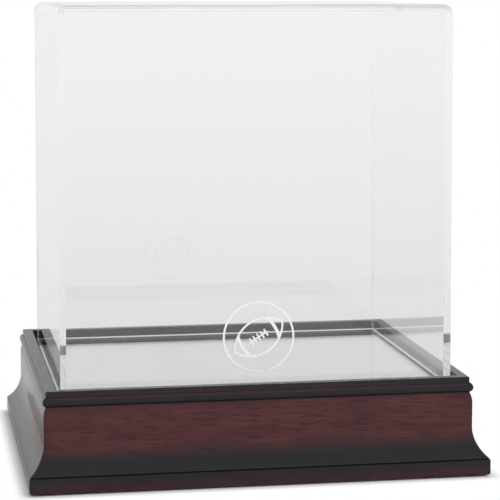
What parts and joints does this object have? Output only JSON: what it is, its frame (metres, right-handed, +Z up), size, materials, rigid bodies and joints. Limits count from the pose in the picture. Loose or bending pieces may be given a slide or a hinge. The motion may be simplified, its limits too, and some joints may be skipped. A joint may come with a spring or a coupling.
{
  "type": "display case",
  "caption": "Table-top display case for football memorabilia: a clear acrylic cover that lifts off a moulded mahogany-finish base with a mirror floor.",
  "frame": {"origin": "on the ground under the middle of the base, at the soles of the feet", "axes": "+X to the right along the front, -Y out of the front, +Z up"},
  "size_m": [0.216, 0.183, 0.2202],
  "materials": {
    "mahogany_finish": "red-brown mahogany stain under satin lacquer, edges burnished nearly black",
    "clear_acrylic": "clear polished acrylic sheet",
    "mirror_glass": "silvered mirror",
    "fibreboard": "fibreboard sprayed black",
    "hardboard": "smooth brown hardboard",
    "glue_block_pine": "sawn pine",
    "foam_tape": "white foam mounting tape",
    "nail_steel": "bright steel strip",
    "screw_steel": "zinc-plated steel",
    "foot_rubber": "thin black rubber pad"
  },
  "bodies": {
    "base": {"front_moulding": "mahogany_finish", "right_moulding": "mahogany_finish", "back_moulding": "mahogany_finish", "left_moulding": "mahogany_finish", "corner_block_front_left": "glue_block_pine", "corner_block_front_right": "glue_block_pine", "corner_block_back_right": "glue_block_pine", "corner_block_back_left": "glue_block_pine", "foot_front_left": "foot_rubber", "foot_front_right": "foot_rubber", "foot_back_right": "foot_rubber", "foot_back_left": "foot_rubber", "mitre_v_nails": "nail_steel", "deck_board": "fibreboard", "mirror_tape": "foam_tape", "mirror_plate": "mirror_glass", "bottom_board": "hardboard", "bottom_board_screws": "screw_steel"},
    "cover": {"cover_wrap": "clear_acrylic", "cover_front_panel": "clear_acrylic", "cover_back_panel": "clear_acrylic"}
  },
  "joints": [
    {"name": "cover_lift", "type": "slide", "parent": "base", "child": "cover", "axis": [0, 0, 1], "range_m": [0, 0.185]}
  ]
}
